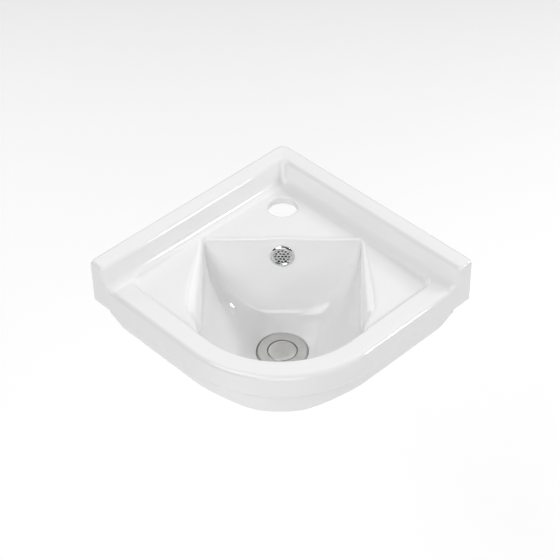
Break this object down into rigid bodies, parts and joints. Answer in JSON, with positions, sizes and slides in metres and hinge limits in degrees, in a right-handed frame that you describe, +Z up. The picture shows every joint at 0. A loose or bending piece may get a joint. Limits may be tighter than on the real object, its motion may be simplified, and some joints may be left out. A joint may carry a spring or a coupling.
{
  "type": "corner basin",
  "caption": "Wall-hung corner basin with upstands along both walls, a rounded front, a tap hole, an overflow and a push-button waste.",
  "frame": {"origin": "the corner where the two walls meet, in the plane of the basin's rim", "axes": "+Z up, -Y out of the corner into the room along the line halfway between the walls, +X to the right for someone who stands in front of the basin"},
  "size_m": [0.4242, 0.3645, 0.202],
  "materials": {
    "china": "glossy white glaze on vitreous china",
    "bright_plate": "bright chrome plate",
    "satin_plate": "chrome plate on brass",
    "brass": "turned brass",
    "clear_rubber": "translucent soft washer",
    "black_rubber": "matt black rubber",
    "white_plastic": "moulded low-friction plastic",
    "spring_steel": "bright drawn wire"
  },
  "bodies": {
    "basin_assembly": {"basin": "china", "right_bolt_bush": "white_plastic", "left_bolt_bush": "white_plastic", "overflow_bezel": "bright_plate", "overflow_grate": "bright_plate", "overflow_washer": "clear_rubber", "waste_body": "satin_plate", "flange_washer": "clear_rubber", "cone_washer": "black_rubber", "slip_washer": "white_plastic", "backnut": "brass", "cartridge_sleeve": "brass", "cartridge_spring": "spring_steel", "cartridge_locknut": "brass"},
    "plug": {"plug_cap": "satin_plate", "plug_seal": "black_rubber", "plunger": "brass"},
    "cam": {"cam_rotor": "white_plastic"}
  },
  "joints": [
    {"name": "plug_lift", "type": "slide", "parent": "basin_assembly", "child": "plug", "axis": [0, 0, 1], "range_m": [0, 0.009], "deforming": ["cartridge_spring"]},
    {"name": "cam_turn", "type": "hinge", "parent": "plug", "child": "cam", "pos_m": [0, -0.213, -0.1335], "axis": [0, 0, 1], "range_deg": [0, 45]}
  ],
  "couplings": [
    {"joint": "cam_turn", "follows": "plug_lift", "rad_per_m": 87.266}
  ]
}
